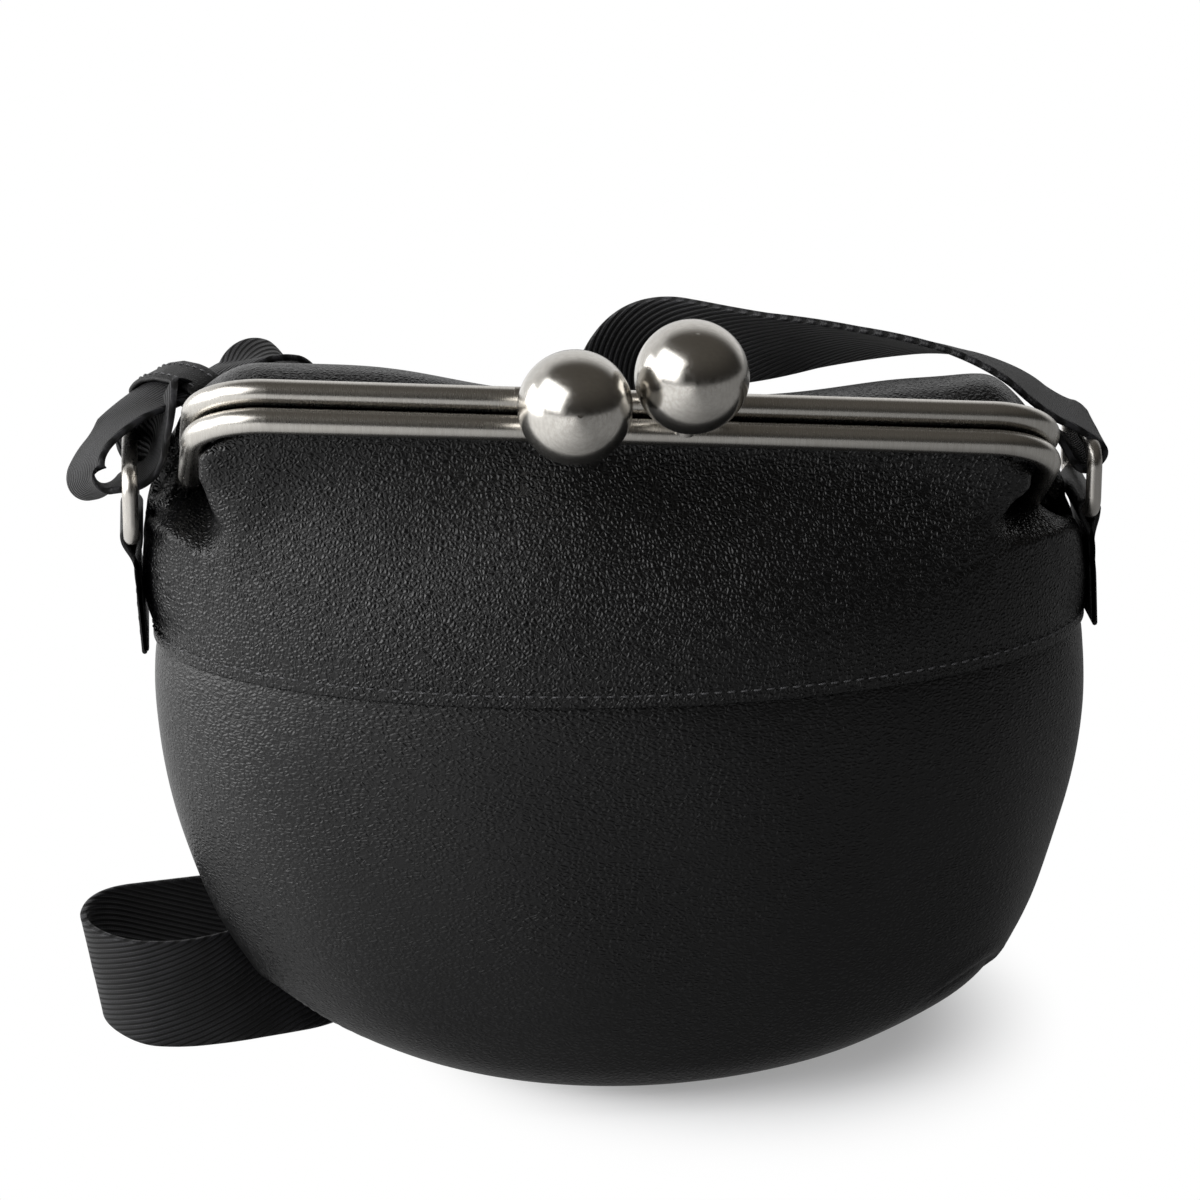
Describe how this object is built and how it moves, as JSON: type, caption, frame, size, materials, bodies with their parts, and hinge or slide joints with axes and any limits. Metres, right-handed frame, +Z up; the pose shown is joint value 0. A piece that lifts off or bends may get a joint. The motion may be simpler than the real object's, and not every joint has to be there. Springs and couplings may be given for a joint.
{
  "type": "kiss lock frame purse",
  "caption": "Soft leather shoulder purse on a hinged tubular metal frame that two crossing balls hold shut, with side rings and a webbing strap.",
  "frame": {"origin": "middle of the base's underside, on the surface that the bag stands on", "axes": "+X to the bag's right, +Y to its back, +Z up"},
  "size_m": [0.2673, 0.1806, 0.2105],
  "materials": {
    "body_leather": "pebbled satin",
    "trim_leather": "satin",
    "base_leather": "pebbled satin",
    "lining_fabric": "matt woven",
    "frame_metal": "satin nickel",
    "ball_metal": "satin nickel",
    "ring_metal": "polished nickel",
    "channel_cord": "twisted paper",
    "webbing": "diagonal twill"
  },
  "bodies": {
    "bag": {"front_panel": "body_leather", "rear_panel": "body_leather", "base_panel": "base_leather", "lining": "lining_fabric", "left_tab": "trim_leather", "right_tab": "trim_leather", "strap_left_loop": "webbing", "strap_back_fall": "webbing", "strap_table_loop": "webbing", "strap_back_rise": "webbing", "strap_right_run": "webbing", "strap_right_fold": "webbing", "strap_keeper": "trim_leather"},
    "front_half": {"front_frame": "frame_metal", "front_channel_cord": "channel_cord", "front_clasp_saddle": "frame_metal", "front_clasp_ball": "ball_metal", "front_yoke": "body_leather"},
    "rear_half": {"rear_frame": "frame_metal", "rear_channel_cord": "channel_cord", "rear_clasp_saddle": "frame_metal", "rear_clasp_ball": "ball_metal", "rear_yoke": "body_leather", "hinge_rivet_left": "frame_metal", "hinge_rivet_right": "frame_metal", "hinge_washer_left": "frame_metal", "hinge_washer_right": "frame_metal"},
    "left_ring": {"left_ring": "ring_metal"},
    "right_ring": {"right_ring": "ring_metal"}
  },
  "joints": [
    {"name": "front_opens", "type": "hinge", "parent": "bag", "child": "front_half", "pos_m": [-0.003, 0, 0.15], "axis": [0.9982, 0, -0.0593], "range_deg": [0, 40], "deforming": ["front_yoke"]},
    {"name": "rear_opens", "type": "hinge", "parent": "bag", "child": "rear_half", "pos_m": [-0.003, 0, 0.15], "axis": [-0.9982, 0, 0.0593], "range_deg": [0, 42], "deforming": ["rear_yoke"]},
    {"name": "left_ring_swings", "type": "hinge", "parent": "bag", "child": "left_ring", "pos_m": [-0.1245, 0, 0.144], "axis": [0, 1, 0], "range_deg": [-45, 15], "deforming": ["strap_left_loop"]},
    {"name": "right_ring_swings", "type": "hinge", "parent": "bag", "child": "right_ring", "pos_m": [0.1185, 0, 0.144], "axis": [0, 1, 0], "range_deg": [-15, 45], "deforming": ["strap_right_fold"]}
  ]
}
